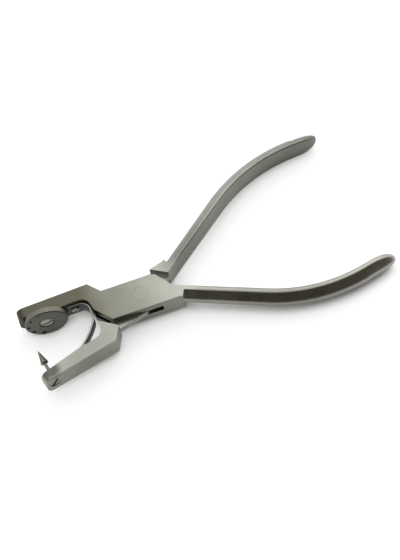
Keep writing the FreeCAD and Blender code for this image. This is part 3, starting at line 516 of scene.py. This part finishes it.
# %% [markdown]
# ## The leaf spring
#
# The real spring is a strip of tempered steel, bent cold round a mandrel. Its root is screwed flat into the
# drum jaw's recess, a bend brings it square out of the jaw, a knee turns it forward, and a long bow ends on
# the other jaw. Its sides taper towards the tip.
#
# A curve with a bevel could draw such a strip, but it couldn't taper one way only. So the middle line is
# walked in the way that the strip was bent, bend by bend, and a rounded section is set on it at each step.
# The closer the steps are in the bends, the smoother the light runs along them.

# %% Walk along the spring's middle line
SPRING_ROOT_END = Vector((-31.9, 6.375)) * MM
SPRING_ROOT_LENGTH = 4.85 * MM
SPRING_BENDS = (
    (4.3 * MM, math.radians(91.0), 4.4 * MM),
    (3.5 * MM, math.radians(29.0), 0.0),
    (36.0 * MM, math.radians(21.5), 1.503 * MM),
)
STEP_TURN = math.radians(3.0)
STEP_LENGTH = 0.4 * MM


def go_straight(spots, length):
    """Go straight on from the last spot."""
    at, heading = spots[-1]
    way = Vector((math.cos(heading), math.sin(heading)))
    steps = max(1, round(length / STEP_LENGTH))
    spots += [(at + way * length * step / steps, heading) for step in range(1, steps + 1)]


def bend_right(spots, radius, turn):
    """Bend to the right from the last spot, round a centre on that side."""
    at, heading = spots[-1]
    centre = at + Vector((math.sin(heading), -math.cos(heading))) * radius
    steps = max(1, round(turn / STEP_TURN))
    for step in range(1, steps + 1):
        now = heading - turn * step / steps
        spots.append((centre + Vector((-math.sin(now), math.cos(now))) * radius, now))


middle_line = [(SPRING_ROOT_END, 0.0)]
go_straight(middle_line, SPRING_ROOT_LENGTH)
for bend_radius, bend_turn, straight_on in SPRING_BENDS:
    bend_right(middle_line, bend_radius, bend_turn)
    if straight_on:
        go_straight(middle_line, straight_on)
spring_tip = middle_line[-1][0]
tip_in_mm = [round(value / MM, 2) for value in spring_tip]
print("spring steps:", len(middle_line), "tip at", tip_in_mm, "mm in its half's frame")

# %% [markdown]
# The section is a flat rectangle with softly rolled edges. Its width stays even along the root and shrinks
# steadily from the pivot's line to the tip, where the corners are rounded off. The strip is drawn in its
# half's own frame and then turned with that half, by half of the opening.

# %% Set the section along it
SPRING_THICK = 0.85 * MM
SPRING_WIDTH = 6.4 * MM
SPRING_TIP_WIDTH = 4.4 * MM
SPRING_EDGE = 0.16 * MM
SPRING_TIP_ROUND = 1.2 * MM
TIP_NARROWING_SHARE = 1.4
EDGE_STEPS = 3
HALF_OPENING = math.radians(7.6)
MID_HEIGHT = 5.35 * MM


def rolled_section(wide):
    """The outline of the strip's section, with each of its corners rolled over."""
    points = []
    for corner, (side_x, side_z) in enumerate(((1, 1), (-1, 1), (-1, -1), (1, -1))):
        for step in range(EDGE_STEPS + 1):
            angle = math.radians(90) * (corner + step / EDGE_STEPS)
            x = side_x * (SPRING_THICK / 2 - SPRING_EDGE) + math.cos(angle) * SPRING_EDGE
            z = side_z * (wide / 2 - SPRING_EDGE) + math.sin(angle) * SPRING_EDGE
            points.append((x, z))
    return points


def spring_width(at, from_tip):
    """How wide the strip is at a spot, and at so short a way from its tip."""
    wide = SPRING_WIDTH - (SPRING_WIDTH - SPRING_TIP_WIDTH) * max(0.0, at.y / spring_tip.y)
    if from_tip < SPRING_TIP_ROUND:
        short = SPRING_TIP_ROUND - from_tip
        wide -= TIP_NARROWING_SHARE * (SPRING_TIP_ROUND - math.sqrt(SPRING_TIP_ROUND**2 - short**2))
    return wide


spring_mesh = bpy.data.meshes.new("bowed_leaf_spring")
shape = bmesh.new()
rings = []
for at, heading in middle_line:
    left = Vector((-math.sin(heading), math.cos(heading)))
    wide = spring_width(at, (at - spring_tip).length)
    rings.append([shape.verts.new((*(at + left * x), z)) for x, z in rolled_section(wide)])
for ring, further in zip(rings, rings[1:]):
    for n in range(len(ring)):
        shape.faces.new((ring[n - 1], ring[n], further[n], further[n - 1]))
shape.faces.new(rings[0])
shape.faces.new(rings[-1][::-1])
bmesh.ops.recalc_face_normals(shape, faces=shape.faces)
shape.to_mesh(spring_mesh)
shape.free()
leaf_spring = bpy.data.objects.new("bowed_leaf_spring", spring_mesh)
scene.collection.objects.link(leaf_spring)
into_place = Matrix.Translation((0, 0, MID_HEIGHT)) @ Matrix.Rotation(-HALF_OPENING, 4, "Z")
print("spring faces:", len(spring_mesh.polygons))

# %% [markdown]
# The eye for the screw is punched through the flat root. A Boolean with a round cutter does what the punch
# does. Then the strip is put in its place.

# %% Punch the eye
EYE_AT = -28.9 * MM
EYE_RADIUS = 1.2 * MM
EYE_SIDES = 32
CUTTER_LENGTH = SPRING_THICK * 4

cutter_mesh = bpy.data.meshes.new("eye_cutter")
shape = bmesh.new()
bmesh.ops.create_cone(
    shape, cap_ends=True, segments=EYE_SIDES, radius1=EYE_RADIUS, radius2=EYE_RADIUS, depth=CUTTER_LENGTH
)
shape.to_mesh(cutter_mesh)
shape.free()
cutter = bpy.data.objects.new("eye_cutter", cutter_mesh)
scene.collection.objects.link(cutter)
across_root = Matrix.Rotation(math.radians(90), 4, "X")
cutter.matrix_world = Matrix.Translation((EYE_AT, SPRING_ROOT_END.y, 0)) @ across_root
punch = leaf_spring.modifiers.new("eye", "BOOLEAN")
punch.operation = "DIFFERENCE"
punch.object = cutter
bpy.context.view_layer.update()
seen_spring = leaf_spring.evaluated_get(bpy.context.evaluated_depsgraph_get())
spring_punched = bpy.data.meshes.new_from_object(seen_spring)
leaf_spring.modifiers.clear()
leaf_spring.data = spring_punched
bpy.data.objects.remove(cutter)
spring_punched.transform(into_place)
print("punched spring faces:", len(spring_punched.polygons))

# %% [markdown]
# The strip's faces are shaded as one smooth sheet. The sharp edges are marked by their angle, so that only
# the real edges stay hard.

# %% Smooth the strip and give it its finish
SHARP_ANGLE = math.radians(40)

shape = bmesh.new()
shape.from_mesh(spring_punched)
for edge in shape.edges:
    edge.smooth = edge.calc_face_angle(0.0) < SHARP_ANGLE
for face in shape.faces:
    face.smooth = True
shape.to_mesh(spring_punched)
shape.free()
spring_punched.materials.clear()
spring_punched.materials.append(strip)
print("the leaf spring wears", strip.name)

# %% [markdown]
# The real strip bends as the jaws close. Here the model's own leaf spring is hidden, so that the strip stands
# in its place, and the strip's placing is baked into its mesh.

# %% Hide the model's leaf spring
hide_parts("leaf_spring")
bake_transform(leaf_spring)
